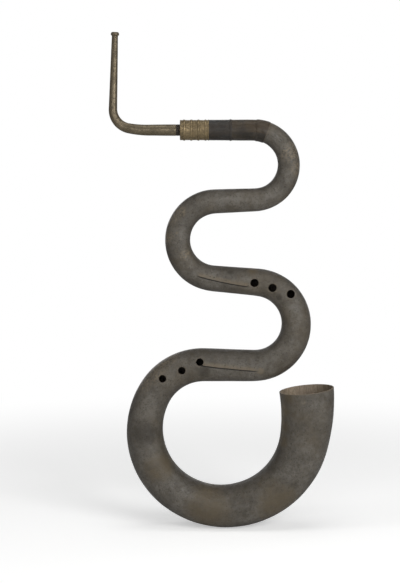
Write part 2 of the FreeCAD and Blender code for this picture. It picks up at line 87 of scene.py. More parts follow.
HORN_RUNS = {
    "collar": (0.0562, 0, 0.0204), "sleeve": (0.0460, 0, 0.0207), "throat": (0.0452, 0, 0.0210),
    "bend_one": (0.0700, -178, 0.0232), "middle_one": (0.0814, 0, 0.0244),
    "bend_two": (0.0781, 173, 0.0262), "middle_two": (0.0924, 0, 0.0278),
    "bend_three": (0.0855, -176, 0.0320), "middle_three": (0.1006, 0, 0.0338),
    "bow_fall": (0.1133, 60, 0.0350), "bow_low": (0.1570, 90, 0.0410), "bow_rise": (0.1674, 110, 0.0505),
    "bell": (0.3540, 17.5, 0.0560),
}
neck_low, neck_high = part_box("neck_sleeve")
neck_z = (neck_low.z + neck_high.z) / 2
wood_end_x = neck_low.x - HORN_RUNS["collar"][0]
horn_line = eased(follow(HORN_RUNS.values(), wood_end_x, neck_z, 0.0, 0.0200, 0.0005), 0.006)
starts = {}
travelled = 0.0
for label, (reach, turn, _) in HORN_RUNS.items():
    starts[label] = travelled
    travelled += reach * abs(math.radians(turn)) if turn else reach
MOUTH = travelled


def line_at(line, travel):
    """Middle point x and z, unit direction x and z, and girth at a travel along a line."""
    x, z, girth = (np.interp(travel, line[:, 0], line[:, column]) for column in (1, 2, 3))
    slope = np.gradient(line[:, 1:3], line[:, 0], axis=0)
    dx, dz = (np.interp(travel, line[:, 0], slope[:, column]) for column in (0, 1))
    length = np.hypot(dx, dz)
    return x, z, dx / length, dz / length, girth


def on_tube(line, travel, angle, radius):
    """Points round a line: the angle is 0 at the front and grows towards the left of travel."""
    x, z, dx, dz, _ = line_at(line, travel)
    left = radius * np.sin(angle)
    return np.stack([x - left * dz, -radius * np.cos(angle), z + left * dx], axis=-1)


# The wooden tube
# Walnut half shells, carved hollow and glued face to face along the middle plane of the horn. They
# show in the finger holes, painted near black there as the shade inside the holes, and as the bare
# inner wall of the bell.
def node(tree, kind, inputs=None, **settings):
    """Adds a node. An input given as a socket is linked, and any other is set."""
    made = tree.nodes.new(kind)
    for name, value in settings.items():
        setattr(made, name, value)
    for key, value in (inputs or {}).items():
        if isinstance(value, bpy.types.NodeSocket):
            tree.links.new(value, made.inputs[key])
        else:
            made.inputs[key].default_value = value
    return made


def new_tree(name, kind, sockets_in, sockets_out):
    """A node group with named sockets, and the nodes that give and take them."""
    tree = bpy.data.node_groups.new(name, kind)
    for direction, sockets in (("INPUT", sockets_in), ("OUTPUT", sockets_out)):
        for label, socket_kind in sockets.items():
            tree.interface.new_socket(label, in_out=direction, socket_type="NodeSocket" + socket_kind)
    return tree, tree.nodes.new("NodeGroupInput").outputs, tree.nodes.new("NodeGroupOutput").inputs


def per_metre(tree, size):
    """How often a size in metres repeats in one metre."""
    return node(tree, "ShaderNodeMath", {0: 1.0, 1: size}, operation="DIVIDE").outputs[0]


blotch_tree, given, out = new_tree("Blotches", "ShaderNodeTree", {
    "Where": "Vector", "Size": "Float", "Detail": "Float", "From": "Float", "To": "Float", "Seed": "Float",
}, {"Mask": "Float"})
cloud = node(blotch_tree, "ShaderNodeTexNoise", {
    "Vector": given["Where"], "W": given["Seed"], "Scale": per_metre(blotch_tree, given["Size"]),
    "Detail": given["Detail"], "Roughness": 0.6,
}, noise_dimensions="4D")
mask = node(blotch_tree, "ShaderNodeMapRange", {
    "Value": cloud.outputs[0], "From Min": given["From"], "From Max": given["To"],
}, interpolation_type="SMOOTHSTEP")
blotch_tree.links.new(mask.outputs[0], out["Mask"])


def effect(tree, group, inputs):
    """A shared effect placed in a material, and the mask or height that it gives."""
    return node(tree, "ShaderNodeGroup", inputs, node_tree=group).outputs[0]


def blotch(tree, where, size, low, high, seed, detail=5.0):
    return effect(tree, blotch_tree, {
        "Where": where, "Size": size, "Detail": detail, "From": low, "To": high, "Seed": seed,
    })


def new_material(name, **plain):
    """A material with its Principled shader, whose plain sockets are set here."""
    material = bpy.data.materials.new(name)
    material.use_nodes = True
    shader = material.node_tree.nodes["Principled BSDF"]
    for label, value in plain.items():
        shader.inputs[label.replace("_", " ")].default_value = value
    return material, material.node_tree, shader.inputs


def tint(tree, share, below, above):
    """Mixes two colours, or sockets of colour, by a mask."""
    made = node(tree, "ShaderNodeMix", {"Factor": share}, data_type="RGBA")
    for index, value in ((6, below), (7, above)):
        if isinstance(value, bpy.types.NodeSocket):
            tree.links.new(value, made.inputs[index])
        else:
            made.inputs[index].default_value = (*value, 1.0)
    return made.outputs[2]


def darker(tone, share):
    return tuple(share * value for value in tone)


def ranged(tree, value, from_low, from_high, to_low=0.0, to_high=1.0, smooth=False):
    made = node(tree, "ShaderNodeMapRange", {
        "Value": value, "From Min": from_low, "From Max": from_high, "To Min": to_low, "To Max": to_high,
    }, interpolation_type="SMOOTHSTEP" if smooth else "LINEAR")
    return made.outputs[0]


def times(tree, first, second):
    return node(tree, "ShaderNodeMath", {0: first, 1: second}, operation="MULTIPLY").outputs[0]


def added(tree, first, second):
    return node(tree, "ShaderNodeMath", {0: first, 1: second}, operation="ADD").outputs[0]


def bumped(tree, height, distance, strength=1.0, over=None):
    inputs = {"Height": height, "Distance": distance, "Strength": strength}
    if over is not None:
        inputs["Normal"] = over
    return node(tree, "ShaderNodeBump", inputs).outputs[0]


def object_place(tree):
    return node(tree, "ShaderNodeTexCoord").outputs["Object"]


def walnut_material(name, pale, deep, dull):
    material, tree, into = new_material(name, Specular_IOR_Level=0.35)
    where = object_place(tree)
    along = node(tree, "ShaderNodeMapping", {"Vector": where, "Scale": (7.0, 7.0, 1.0)}).outputs[0]
    figure = blotch(tree, along, 0.02, 0.36, 0.66, 3.0, 8.0)
    streak = blotch(tree, along, 0.006, 0.48, 0.62, 9.0, 4.0)
    grime = blotch(tree, where, 0.03, 0.4, 0.7, 6.0, 6.0)
    tone = tint(tree, figure, deep, pale)
    tone = tint(tree, times(tree, streak, 0.55), tone, darker(deep, 0.45))
    tone = tint(tree, times(tree, grime, 0.5), tone, dull)
    tree.links.new(tone, into["Base Color"])
    tree.links.new(ranged(tree, figure, 0, 1, 0.72, 0.52), into["Roughness"])
    tree.links.new(bumped(tree, added(tree, figure, streak), 0.00025, 0.5), into["Normal"])
    return material


# painted shade: the walnut seen in the finger holes is coloured far darker than the bell's bare walnut, for
# the shade inside the holes
shaded_walnut = walnut_material("walnut_painted_as_shade", (0.045, 0.032, 0.021), (0.022, 0.015, 0.010), (0.010, 0.008, 0.006))
bell_walnut = walnut_material("bell_walnut", (0.42, 0.34, 0.25), (0.25, 0.19, 0.13), (0.18, 0.15, 0.12))
for name in [f"{side}_shell_{number}" for side in ("front", "back") for number in range(1, 6)]:
    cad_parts[name].data.materials.clear()
    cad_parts[name].data.materials.append(shaded_walnut)

HIDE_WALL, HIDE_WALL_MOUTH, GLUE_GAP = 0.0018, 0.0010, 0.0001


def hide_wall(travel):
    return np.interp(travel, [starts["bell"], MOUTH], [HIDE_WALL, HIDE_WALL_MOUTH])


def spaced(start, end, step, start_lip=0.0, end_lip=0.0):
    """Travels from start to end, drawn together at a rounded end, and how far each is rounded down."""
    travel = np.linspace(start + start_lip, end - end_lip, round((end - start) / step) + 1)
    drop = np.zeros(len(travel))
    turn = np.radians([25, 45, 62, 76, 90])
    if start_lip:
        travel = np.append((travel[0] - start_lip * np.sin(turn))[::-1], travel)
        drop = np.append((start_lip * (1 - np.cos(turn)))[::-1], drop)
    if end_lip:
        travel = np.append(travel, travel[-1] + end_lip * np.sin(turn))
        drop = np.append(drop, end_lip * (1 - np.cos(turn)))
    return travel, drop


def grid_quads(rows, columns):
    corner = np.arange(rows * columns).reshape(rows, columns)
    beside = np.roll(corner, -1, axis=1)
    return corner, np.stack([corner[:-1], beside[:-1], beside[1:], corner[1:]], -1).reshape(-1, 4)


def read(mesh, name):
    """One number per vertex, or one point per vertex for the name position."""
    kept = mesh.attributes[name]
    width = 3 if kept.data_type == "FLOAT_VECTOR" else 1
    values = np.zeros(len(mesh.vertices) * width, np.float32)
    kept.data.foreach_get("vector" if width == 3 else "value", values)
    return values.reshape(-1, 3).astype(float) if width == 3 else values.astype(float)


def facing_out(mesh):
    """Turns a closed mesh so that its faces look outward."""
    mesh.calc_loop_triangles()
    corners = np.zeros(len(mesh.loop_triangles) * 3, np.int32)
    mesh.loop_triangles.foreach_get("vertices", corners)
    a, b, c = read(mesh, "position")[corners].reshape(-1, 3, 3).transpose(1, 0, 2)
    if np.einsum("ij,ij->i", a, np.cross(b, c)).sum() < 0:
        mesh.flip_normals()
    return mesh


def in_scene(name, data):
    """A new object in the scene, of a mesh, a lamp or the camera."""
    made = bpy.data.objects.new(name, data)
    bpy.context.scene.collection.objects.link(made)
    return made


def as_piece(name, mesh, body, replaced=()):
    piece = in_scene(name, mesh)
    mesh.shade_smooth()
    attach(piece, body)
    if replaced:
        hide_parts(*replaced)


# The wall at the start of the bow's rise, at the start of the bell and at its mouth
WOOD_WALLS = (0.0055, 0.0032, 0.0016)
STATION_STEP, MOUTH_ROUNDING, GOUGE_DEPTH = 0.003, 0.0006, 0.00012


def wood_half(name, first, last, side, nodes):
    """One carved half of the tube between two stations: side -1 is the front, 1 the back."""
    travel, drop = spaced(first, last, STATION_STEP, end_lip=MOUTH_ROUNDING if last == MOUTH else 0.0)
    outside = line_at(horn_line, travel)[4] - hide_wall(travel) - GLUE_GAP
    wall = np.interp(travel, [starts["bow_rise"], starts["bell"], MOUTH], WOOD_WALLS)
    flat = np.radians(np.linspace(-89.85, 89.85, 73))
    bow = np.concatenate([flat, flat[::-1]])
    at_outside = np.repeat([1.0, 0.0], len(flat))
    angle = (bow if side < 0 else bow + math.pi)[None, :] + 0 * travel[:, None]
    flutes = np.sin(17 * angle + 5 * np.sin(9 * travel[:, None])) * np.sin(31 * travel[:, None] + 2 * angle)
    bore = (outside - wall + drop)[:, None] + GOUGE_DEPTH * flutes
    radius = at_outside * (outside - drop)[:, None] + (1 - at_outside) * bore
    rows, columns = radius.shape
    points = on_tube(horn_line, np.broadcast_to(travel[:, None], radius.shape), angle, radius)
    corner, quads = grid_quads(rows, columns)
    caps = []
    for row, order in ((0, 1), (rows - 1, -1)):
        for column in range(len(flat) - 1):
            cap = [corner[row, column], corner[row, columns - 1 - column],
                   corner[row, columns - 2 - column], corner[row, column + 1]]
            caps.append(cap[::order])
    mesh = bpy.data.meshes.new(name)
    mesh.from_pydata(points.reshape(-1, 3).tolist(), [], quads.tolist() + caps)
    mesh.materials.append(bell_walnut)
    as_piece(name, facing_out(mesh), "horn", nodes)
    mesh.set_sharp_from_angle(angle=math.radians(40))


wood_half("bell_wood_front", starts["bell"], MOUTH, -1, ["front_shell_6"])
wood_half("bell_wood_back", starts["bow_rise"], MOUTH, 1, ["back_shell_6"])


# The finger holes
# Three to a hand, bored square through the front before the hide was cut out round them: their
# middle x and z and their radius, counted from the neck. The hide is rounded down into each.
FINGER_HOLES = np.array([
    (0.05530, 0.50796, 0.0083), (0.09152, 0.49800, 0.0083), (0.12838, 0.48529, 0.0083),
    (-0.05464, 0.34774, 0.0075), (-0.09103, 0.33074, 0.0075), (-0.12994, 0.31409, 0.0075),
])
HOLE_LIP = 0.0007


def hole_gaps(points):
    """How far points lie outside the nearest finger hole, seen from the front, and which it is."""
    gaps = np.hypot(points[..., None, 0] - FINGER_HOLES[:, 0], points[..., None, 2] - FINGER_HOLES[:, 1])
    gaps = gaps - FINGER_HOLES[:, 2]
    nearest = gaps.argmin(-1)
    gap = np.take_along_axis(gaps, nearest[..., None], -1)[..., 0]
    return np.where(points[..., 1] < 0, gap, 1.0), nearest


def hole_rings(line, travel, middle, way, outside, inside):
    """The edge of a hole, from the hide's outside over its lip to the hide's inside."""
    x, z, dx, dz, _ = line_at(line, travel)
    for beyond, depth, radius in ((HOLE_LIP, 0, outside), (0.3 * HOLE_LIP, 0.3 * HOLE_LIP, outside),
                                  (0, HOLE_LIP, outside), (0, 0, inside)):
        flat = middle[:, :2] + way * (middle[:, 2:] + beyond)
        left = (flat[:, 0] - x) * -dz + (flat[:, 1] - z) * dx
        yield np.column_stack([flat[:, 0], depth - np.sqrt(radius ** 2 - left ** 2), flat[:, 1]])


# The leather
# Hide is soaked, drawn round the wood and glued, lapped where two edges meet, then blackened and
# waxed. Hands have worn it brown at the laps and holes and polished it along the bends, where its
# colour is also lightened as painted highlight; along its flanks it is darkened as painted shade.
def tube_place(travel_mm, degrees):
    """A place on the tube, given as travel in millimetres and degrees left of the front."""
    return travel_mm / 1000, math.radians(degrees)


# Laps: the edge of the upper hide, and the side of the edge on which that hide lies
LAPS = (
    {"side": 1, "edge": ((646, -8.2), (652, -5.5), (664, -2.5), (678, -3.0), (696.6, -8.2), (717, -13),
                         (735, -16.5), (758, -18.6))},
    {"side": -1, "edge": ((1026, 14.1), (1040, 12.6), (1065, 9.3), (1090.7, 5.1), (1110.7, 2.4),
                          (1138.7, -3.2), (1150, -5.0))},
)
LAP_HEIGHT, LAP_GROOVE, SEAM_HEIGHT = 0.0009, 0.0003, 0.00035
# Marks of use, each a kind, a place on the tube and a radius in millimetres; the scratched patches
# also paint highlights where the lamps catch the bends and the bow
MARKS = (
    ("worn", 1024.6, 14.1, 9.5), ("dark", 701.7, 54, 7), ("dark", 715.2, 41, 9), ("brown", 761.4, 60.8, 15),
    ("dark", 828, -20.6, 9), ("dark", 1138, 16.5, 17),
    ("brown", 150, 78, 42), ("brown", 112, 84, 26), ("dark", 96, 88, 16), ("brown", 86, 70, 7),
    ("dark", 128, -17, 20), ("dark", 165, -29, 16), ("scuffed", 236, 18, 26), ("scuffed", 262, 40, 20),
    ("worn", 240.6, 18.3, 4), ("worn", 226.6, 5, 3), ("scuffed", 526, -74, 26), ("scuffed", 560, -60, 20),
    ("worn", 551, -7.3, 4), ("worn", 600, 36, 4), ("scuffed", 1200, -72, 26), ("scuffed", 1225, -64, 34),
    ("scuffed", 1252, -60, 26), ("scuffed", 512, -30, 12), ("scuffed", 600, 22, 16),
    ("scuffed", 1916, 11.7, 6), ("brown", 1893, 66, 22), ("brown", 1857, 66, 22),
    ("brown", 1820, 66, 22), ("brown", 1925, 50, 16), ("brown", 1560, 10, 60),
    ("brown", 1700, -20, 50), ("brown", 1420, 24, 40), ("dark", 1340, 0, 34),
)


def soft(value, low, high):
    """0 below low, 1 above high and smooth between."""
    share = np.clip((value - low) / (high - low), 0, 1)
    return share * share * (3 - 2 * share)


def off_edge(travel, angle, radius, edge, side):
    """Signed distance from a lap's edge over the unrolled hide, and the share of the edge passed."""
    gap, passed, total = np.ones(travel.shape), np.zeros(travel.shape), 0.0
    corners = [tube_place(*corner) for corner in edge]
    for (s0, a0), (s1, a1) in zip(corners, corners[1:]):
        ahead, across = s1 - s0, radius * (a1 - a0)
        length = np.hypot(ahead, across)
        u, v = travel - s0, radius * (angle - a0)
        share = np.clip((u * ahead + v * across) / length ** 2, 0, 1)
        away = np.hypot(u - share * ahead, v - share * across)
        nearer = away < np.abs(gap)
        gap = np.where(nearer, away * side * np.where(ahead * v > across * u, 1, -1), gap)
        passed = np.where(nearer, total + share * ahead, passed)
        total += ahead
    return gap, passed / total


def hide_marks(travel, angle, radius, lumps, ripples):
    """Masks of worn and brown hide, of darkened spots together with painted shade along the tube's flanks,
    and of scratched patches together with their painted highlights, the signed distance to the nearest
    lap or seam, how open it is, and how far the laps stand proud."""
    masks = {kind: np.zeros(travel.shape) for kind in ("worn", "dark", "brown", "scuffed")}
    for kind, travel_mm, degrees, size in MARKS:
        here, turn = tube_place(travel_mm, degrees)
        reach = size / 1000
        behind = np.cos(angle - turn) < 0
        gap = np.hypot(travel - here, radius * np.sin(angle - turn)) + behind
        gap = gap + 0.5 * reach * (lumps + ripples)
        masks[kind] = np.maximum(masks[kind], 1 - soft(gap, 0.35 * reach, 1.05 * reach))
    # painted shade: the hide is darkened along both flanks of the tube, away from its front, in the same
    # mask as the darkened spots
    flank_shade = soft(np.abs(np.sin(angle)) + 0.25 * lumps, 0.55, 1.0)
    masks["dark"] = np.maximum(masks["dark"], 0.75 * flank_shade)
    bell_inner = soft(travel, 1.79, 1.86) * soft(np.sin(angle) + 0.3 * (lumps + ripples), 0.80, 0.97)
    masks["worn"] = np.maximum(masks["worn"], 0.55 * bell_inner)
    seam_angle = math.pi + 0.10 * np.sin(7 * travel) + 0.03 * np.sin(31 * travel)
    crack = radius * np.angle(np.exp(1j * (angle - seam_angle)))
    opened = np.full(travel.shape, 0.35)
    raised = SEAM_HEIGHT * np.exp(-np.maximum(crack, 0) / 0.006) * soft(crack, -0.0008, 0.0008)
    for lap in LAPS:
        gap, passed = off_edge(travel, angle, radius, lap["edge"], lap["side"])
        ends = soft(passed, 0.0, 0.1) * (1 - soft(passed, 0.93, 1.0)) * (np.abs(gap) < 0.06)
        step = np.exp(-np.maximum(gap, 0) / 0.012) * soft(gap, -0.0011, 0.0006)
        groove = np.exp(-((gap + 0.0014) / 0.0012) ** 2)
        raised = raised + ends * (LAP_HEIGHT * step - LAP_GROOVE * groove)
        band = ends * soft(gap, -0.0004, 0.0004) * (1 - soft(gap + 0.004 * ripples, 0.003, 0.0125))
        masks["worn"] = np.maximum(masks["worn"], band)
        closer = np.abs(gap) < np.abs(crack)
        crack, opened = np.where(closer, gap, crack), np.where(closer, ends, opened)
    return {**masks, "crack": crack, "opened": opened}, raised


def creases(travel, angle, radius, first, last, count, depth, seed):
    """Lengthwise folds where the hide was gathered on a straight, narrow tube."""
    draw = np.random.default_rng(seed).uniform
    sunk = np.zeros(travel.shape)
    for _ in range(count):
        middle, drift, width = draw(-math.pi, math.pi), draw(-0.4, 0.4), draw(0.0009, 0.0020)
        share = (travel - draw(first, last)) / (draw(0.3, 0.9) * (last - first))
        route = middle + drift * share + 0.08 * np.sin(9 * share + middle)
        gap = radius * np.angle(np.exp(1j * (angle - route)))
        fade = soft(share, -0.5, -0.3) * (1 - soft(share, 0.3, 0.5))
        sunk += fade * np.exp(-(gap / width) ** 2) * draw(0.4, 1.0)
    return -depth * np.minimum(sunk, 1.3)


grain_tree, given, out = new_tree("Pebble grain", "ShaderNodeTree", {
    "Where": "Vector", "Size": "Float", "Uneven": "Float",
}, {"Height": "Float"})
pulled = node(grain_tree, "ShaderNodeTexNoise", {"Vector": given["Where"], "Scale": 160.0, "Detail": 2.0})
shifted = node(grain_tree, "ShaderNodeVectorMath", {
    0: pulled.outputs["Color"], 1: (0.004, 0.004, 0.004), 2: given["Where"],
}, operation="MULTIPLY_ADD")
cells = node(grain_tree, "ShaderNodeTexVoronoi", {
    "Vector": shifted.outputs[0], "Scale": per_metre(grain_tree, given["Size"]), "Smoothness": 0.4,
}, feature="SMOOTH_F1")
fine = node(grain_tree, "ShaderNodeTexNoise", {"Vector": given["Where"], "Scale": 1500.0, "Detail": 4.0})
height = node(grain_tree, "ShaderNodeMix", {
    "Factor": given["Uneven"], 2: cells.outputs["Distance"], 3: fine.outputs[0],
}, data_type="FLOAT")
grain_tree.links.new(height.outputs[0], out["Height"])

scratch_tree, given, out = new_tree("Scratches", "ShaderNodeTree", {
    "Where": "Vector", "Long": "Float", "Fine": "Float", "Amount": "Float", "Seed": "Float",
}, {"Mask": "Float"})
tilted = node(scratch_tree, "ShaderNodeMapping", {"Vector": given["Where"], "Rotation": (0.12, 0.3, 0.2)})
longer, finer = per_metre(scratch_tree, given["Long"]), per_metre(scratch_tree, given["Fine"])
scale = node(scratch_tree, "ShaderNodeCombineXYZ", {0: longer, 1: finer, 2: finer})
stretched = node(scratch_tree, "ShaderNodeVectorMath", {0: tilted.outputs[0], 1: scale.outputs[0]},
                 operation="MULTIPLY")
threads = node(scratch_tree, "ShaderNodeTexNoise", {
    "Vector": stretched.outputs[0], "W": given["Seed"], "Scale": 1.0, "Detail": 3.0, "Roughness": 0.65,
}, noise_dimensions="4D")
limit = node(scratch_tree, "ShaderNodeMath", {0: 0.78, 1: given["Amount"]}, operation="SUBTRACT").outputs[0]
mask = ranged(scratch_tree, threads.outputs[0], limit, added(scratch_tree, limit, 0.06), smooth=True)
scratch_tree.links.new(mask, out["Mask"])


def kept_mark(tree, name):
    """A number that the mesh keeps per vertex."""
    return node(tree, "ShaderNodeAttribute", attribute_name=name).outputs["Fac"]


def unrolled_place(tree):
    return node(tree, "ShaderNodeAttribute", attribute_name="unrolled").outputs["Vector"]


def hide_material(name, mid, pale, deep, brown, tan, shine):
    """Blackened hide: tones of the dye, the brown where it has rubbed through, painted shade on its flanks,
    painted highlights on the scratched patches of the bends, and how it shines.
    """
    material, tree, into = new_material(name, Specular_IOR_Level=0.36)
    where, unrolled = object_place(tree), unrolled_place(tree)
    cloudy = blotch(tree, where, 0.045, 0.34, 0.66, 1.0, 7.0)
    dyed = blotch(tree, where, 0.10, 0.46, 0.72, 5.0, 7.0)
    mottled = blotch(tree, where, 0.0055, 0.34, 0.7, 8.0, 6.0)
    speck = blotch(tree, where, 0.0021, 0.60, 0.72, 12.0, 3.0)
    rubbed = blotch(tree, where, 0.004, 0.4, 0.62, 21.0, 6.0)
    kinds = ("worn", "dark", "brown", "scuffed")
    worn, dark, rubbed_brown, scuffed = (kept_mark(tree, kind) for kind in kinds)
    patchy = blotch(tree, where, 0.014, 0.40, 0.68, 31.0, 8.0)
    pitted = blotch(tree, where, 0.0030, 0.52, 0.66, 17.0, 5.0)
    tone = tint(tree, cloudy, mid, pale)
    tone = tint(tree, times(tree, patchy, 0.45), tone, deep)
    tone = tint(tree, times(tree, mottled, 0.40), tone, darker(brown, 0.7))
    tone = tint(tree, times(tree, pitted, 0.60), tone, deep)
    tone = tint(tree, times(tree, dyed, 0.55), tone, brown)
    tone = tint(tree, times(tree, speck, 0.55), tone, tan)
    # darkened spots, and the painted shade along the flanks, tint the hide towards its deep tone
    tone = tint(tree, times(tree, dark, 0.6), tone, deep)
    ragged = ranged(tree, patchy, 0, 1, 0.85, 0.5)
    tone = tint(tree, times(tree, rubbed_brown, ragged), tone, brown)
    hole_rim = ranged(tree, kept_mark(tree, "hole_gap"), 0.0004, 0.0045, 0.5, 0.0, smooth=True)
    tone = tint(tree, times(tree, hole_rim, rubbed), tone, tan)
    worn = times(tree, worn, ranged(tree, rubbed, 0, 1, 0.45, 0.8))
    tone = tint(tree, worn, tone, tan)
    flecks = effect(tree, scratch_tree, {
        "Where": unrolled, "Long": 0.012, "Fine": 0.0009, "Amount": 0.12, "Seed": 2.0,
    })
    few = effect(tree, scratch_tree, {
        "Where": unrolled, "Long": 0.03, "Fine": 0.0012, "Amount": 0.06, "Seed": 7.0,
    })
    # scratch flecks, made bright where the scratched patches also carry painted highlights
    scratch_flecks_and_glints = added(tree, times(tree, flecks, times(tree, scuffed, 0.8)), times(tree, few, 0.25))
    tone = tint(tree, scratch_flecks_and_glints, tone, darker(tan, 1.6))
    # painted highlight: a broad lighter tan over the scratched patches, where the lamps catch the bends and
    # the bow
    tone = tint(tree, times(tree, times(tree, scuffed, rubbed), 0.6), tone, darker(tan, 1.25))
    crack = node(tree, "ShaderNodeMath", {0: kept_mark(tree, "crack")}, operation="ABSOLUTE").outputs[0]
    near = ranged(tree, crack, 0.0005, 0.0017, 1.0, 0.0, smooth=True)
    line = times(tree, near, kept_mark(tree, "opened"))
    tone = tint(tree, line, tone, (0.006, 0.005, 0.004))
    tree.links.new(tone, into["Base Color"])
    gloss = added(tree, ranged(tree, cloudy, 0, 1, shine + 0.06, shine - 0.05),
                  ranged(tree, mottled, 0, 1, -0.03, 0.09))
    gloss = added(tree, gloss, times(tree, added(tree, worn, line), 0.15))
    tree.links.new(added(tree, gloss, times(tree, scuffed, -0.08)), into["Roughness"])
    pebble = effect(tree, grain_tree, {"Where": where, "Size": 0.0013, "Uneven": 0.45})
    normal = bumped(tree, pebble, 0.0006, 0.8)
    normal = bumped(tree, added(tree, mottled, pitted), 0.0005, 0.5, normal)
    hollow = ranged(tree, line, 0, 1, 1, 0)
    tree.links.new(bumped(tree, hollow, 0.0006, 0.8, normal), into["Normal"])
    return material


hide = hide_material("blackened_hide", (0.092, 0.083, 0.070), (0.140, 0.128, 0.110),
                     (0.028, 0.022, 0.015), (0.096, 0.074, 0.044), (0.165, 0.132, 0.088), 0.44)
neck_hide = hide_material("waxed_neck_hide", (0.020, 0.018, 0.016), (0.036, 0.034, 0.032),
                          (0.006, 0.005, 0.003), (0.040, 0.026, 0.014), (0.14, 0.10, 0.07), 0.32)
throat_hide = hide_material("rubbed_neck_hide", (0.032, 0.025, 0.018), (0.060, 0.050, 0.040),
                            (0.008, 0.006, 0.003), (0.046, 0.029, 0.012), (0.20, 0.15, 0.10), 0.34)


def finished(tree, geometry, material, out):
    """Ends a Geometry Nodes tree: real geometry with its material."""
    real = node(tree, "GeometryNodeRealizeInstances", {0: geometry})
    faced = node(tree, "GeometryNodeSetMaterial", {"Geometry": real.outputs[0], "Material": material})
    tree.links.new(faced.outputs[0], out)


tube_tree, given, out = new_tree("Tube along a line", "GeometryNodeTree", {
    "Line": "Geometry", "Faces around": "Int", "Closed ends": "Bool", "Lump size": "Float",
    "Ripple size": "Float", "Seed": "Float", "Finish": "Material",
}, {"Tube": "Geometry"})
run = node(tube_tree, "GeometryNodeMeshToCurve", {"Mesh": given["Line"]})
ring = node(tube_tree, "GeometryNodeCurvePrimitiveCircle", {
    "Resolution": given["Faces around"], "Radius": 1.0,
})
girth = node(tube_tree, "GeometryNodeInputNamedAttribute", {"Name": "girth"}, data_type="FLOAT")
grown_skin = node(tube_tree, "GeometryNodeCurveToMesh", {
    "Curve": run.outputs[0], "Profile Curve": ring.outputs[0], "Scale": girth.outputs["Attribute"],
    "Fill Caps": given["Closed ends"],
}).outputs[0]
spot = node(tube_tree, "GeometryNodeInputPosition").outputs[0]
for label, source in (("lumps", "Lump size"), ("ripples", "Ripple size")):
    noise = node(tube_tree, "ShaderNodeTexNoise", {
        "Vector": spot, "W": given["Seed"], "Scale": per_metre(tube_tree, given[source]), "Detail": 2.0,
    }, noise_dimensions="4D")
    grown_skin = node(tube_tree, "GeometryNodeStoreNamedAttribute", {
        "Geometry": grown_skin, "Name": label, "Value": noise.outputs[0],
    }, data_type="FLOAT", domain="POINT").outputs[0]
finished(tube_tree, grown_skin, given["Finish"], out["Tube"])


def grow(tree, start, inputs):
    """The plain mesh that a Geometry Nodes tree makes from a starting mesh."""
    source = in_scene("source", start)
    modifier = source.modifiers.new("grow", "NODES")
    modifier.node_group = tree
    sockets = {item.name: item.identifier for item in tree.interface.items_tree if item.in_out == "INPUT"}
    for label, value in inputs.items():
        modifier[sockets[label]] = value
    shape = source.evaluated_get(bpy.context.evaluated_depsgraph_get())
    mesh = bpy.data.meshes.new_from_object(shape)
    bpy.data.objects.remove(source)
    return mesh


def edge_line(points, closed=False):
    """A mesh of edges from point to point."""
    mesh = bpy.data.meshes.new("line")
    edges = [(index, index + 1) for index in range(len(points) - 1)]
    if closed:
        edges.append((len(points) - 1, 0))
    mesh.from_pydata(np.asarray(points).tolist(), edges, [])
    return mesh


def store(mesh, name, values, domain="POINT"):
    """Keeps numbers, vectors or marks of yes and no on a mesh, for the trees and the materials."""
    values = np.asarray(values)
    if values.dtype.kind == "b":
        kind, field = "BOOLEAN", "value"
    else:
        kind, field = ("FLOAT_VECTOR", "vector") if values.ndim == 2 else ("FLOAT", "value")
        values = values.astype(np.float32)
    kept = mesh.attributes.get(name) or mesh.attributes.new(name, kind, domain)
    kept.data.foreach_set(field, values.ravel())


def around(line, travel, points):
    """The angle of points round a line, and their distance from it."""
    x, z, dx, dz, _ = line_at(line, travel)
    left = (points[..., 0] - x) * -dz + (points[..., 2] - z) * dx
    return np.arctan2(left, -points[..., 1]), np.hypot(left, points[..., 1])


LUMP_SIZE, RIPPLE_SIZE, LUMP_HEIGHT, RIPPLE_HEIGHT = 0.045, 0.009, 0.0009, 0.00016


def tube_grid(line, travel, faces_around, material, seed):
    """A tube along a line as rows of points, with its lumps and ripples from -0.5 to 0.5."""
    x, z, _, _, girth = line_at(line, travel)
    rows = edge_line(np.column_stack([x, 0 * x, z]))
    store(rows, "girth", girth)
    mesh = grow(tube_tree, rows, {
        "Faces around": faces_around, "Closed ends": False, "Lump size": LUMP_SIZE,
        "Ripple size": RIPPLE_SIZE, "Seed": seed, "Finish": material,
    })
    shape = (len(travel), faces_around)
    grid = read(mesh, "position").reshape(*shape, 3)
    return grid, read(mesh, "lumps").reshape(shape) - 0.5, read(mesh, "ripples").reshape(shape) - 0.5


def hide_grid(travel, faces_around, material):
    """Travels, angles, girths, relief and marks of the hide on a grid of rows along the horn."""
    grid, lumps, ripples = tube_grid(horn_line, travel, faces_around, material, 4.0)
    there = np.broadcast_to(travel[:, None], lumps.shape)
    angle, girth = around(horn_line, there, grid)
    marks, raised = hide_marks(there, angle, girth, lumps, ripples)
    calm = soft(hole_gaps(grid)[0], 0.001, 0.008)
    return there, angle, girth, (lumps * LUMP_HEIGHT + ripples * RIPPLE_HEIGHT + raised) * calm, marks


